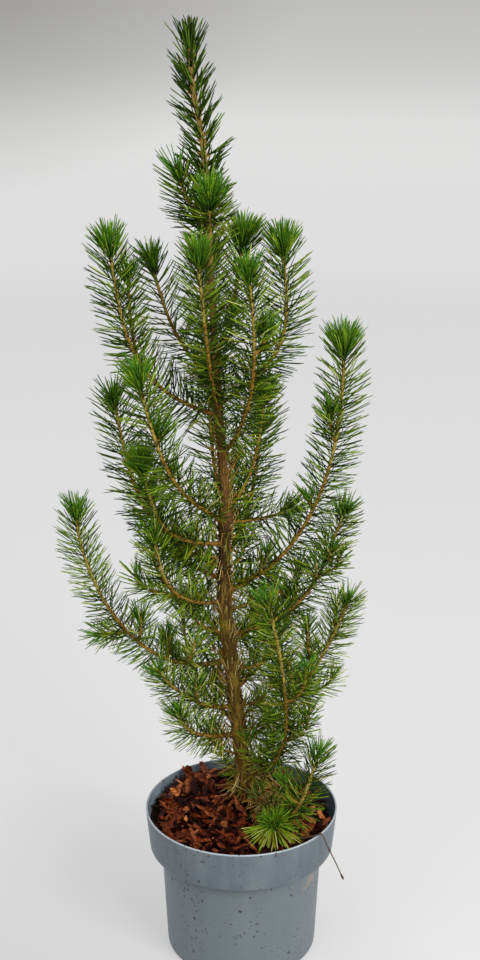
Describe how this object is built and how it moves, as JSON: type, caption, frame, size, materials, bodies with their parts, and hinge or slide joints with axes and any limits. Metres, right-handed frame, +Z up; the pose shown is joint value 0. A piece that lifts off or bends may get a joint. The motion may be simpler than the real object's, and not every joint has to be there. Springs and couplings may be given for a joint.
{
  "type": "potted stone pine",
  "caption": "Young stone pine with upswept shoots and needle tufts, in a round nursery pot topped with bark mulch.",
  "frame": {"origin": "centre of the pot's flat underside, where it stands", "axes": "+Z up along the pot's axis, -Y towards the viewer of the front, +X to the viewer's right"},
  "size_m": [0.3139, 0.2431, 0.898],
  "materials": {
    "pot": "blue-grey moulded plastic, light scuffs",
    "mulch": "damp bark chips over compost",
    "bark": "rough brown bark",
    "young_bark": "orange-brown young bark",
    "needles": "green pine needles, paler at the tips"
  },
  "bodies": {
    "root": {"bough_foot_front": "young_bark", "bough_high_front": "young_bark", "bough_high_left": "young_bark", "bough_high_right": "young_bark", "bough_low_back_left": "young_bark", "bough_low_back_right": "young_bark", "bough_low_front": "young_bark", "bough_low_left": "young_bark", "bough_low_right": "young_bark", "bough_middle_back": "young_bark", "bough_middle_left": "young_bark", "bough_middle_left_back": "young_bark", "bough_middle_left_front": "young_bark", "bough_middle_right": "young_bark", "bough_upper_back_left": "young_bark", "bough_upper_back_right": "young_bark", "bough_upper_left": "young_bark", "bough_upper_left_front": "young_bark", "bough_upper_right_back": "young_bark", "bough_waist_back": "young_bark", "bough_waist_left": "young_bark", "bough_waist_right": "young_bark", "needles_foot_front": "needles", "needles_high_back": "needles", "needles_high_front": "needles", "needles_high_front_left": "needles", "needles_high_left": "needles", "needles_high_left_back": "needles", "needles_high_right": "needles", "needles_high_right_back": "needles", "needles_leader_lower": "needles", "needles_leader_middle": "needles", "needles_leader_top": "needles", "needles_low_back_left": "needles", "needles_low_back_right": "needles", "needles_low_front": "needles", "needles_low_left": "needles", "needles_low_left_front": "needles", "needles_low_right": "needles", "needles_middle_back": "needles", "needles_middle_left": "needles", "needles_middle_left_back": "needles", "needles_middle_left_front": "needles", "needles_middle_right": "needles", "needles_top_front": "needles", "needles_top_left": "needles", "needles_upper_back_left": "needles", "needles_upper_back_right": "needles", "needles_upper_left": "needles", "needles_upper_left_front": "needles", "needles_upper_right_back": "needles", "needles_waist_back": "needles", "needles_waist_left": "needles", "needles_waist_right": "needles", "pot": "pot", "soil": "mulch", "trunk": "bark"}
  },
  "joints": []
}
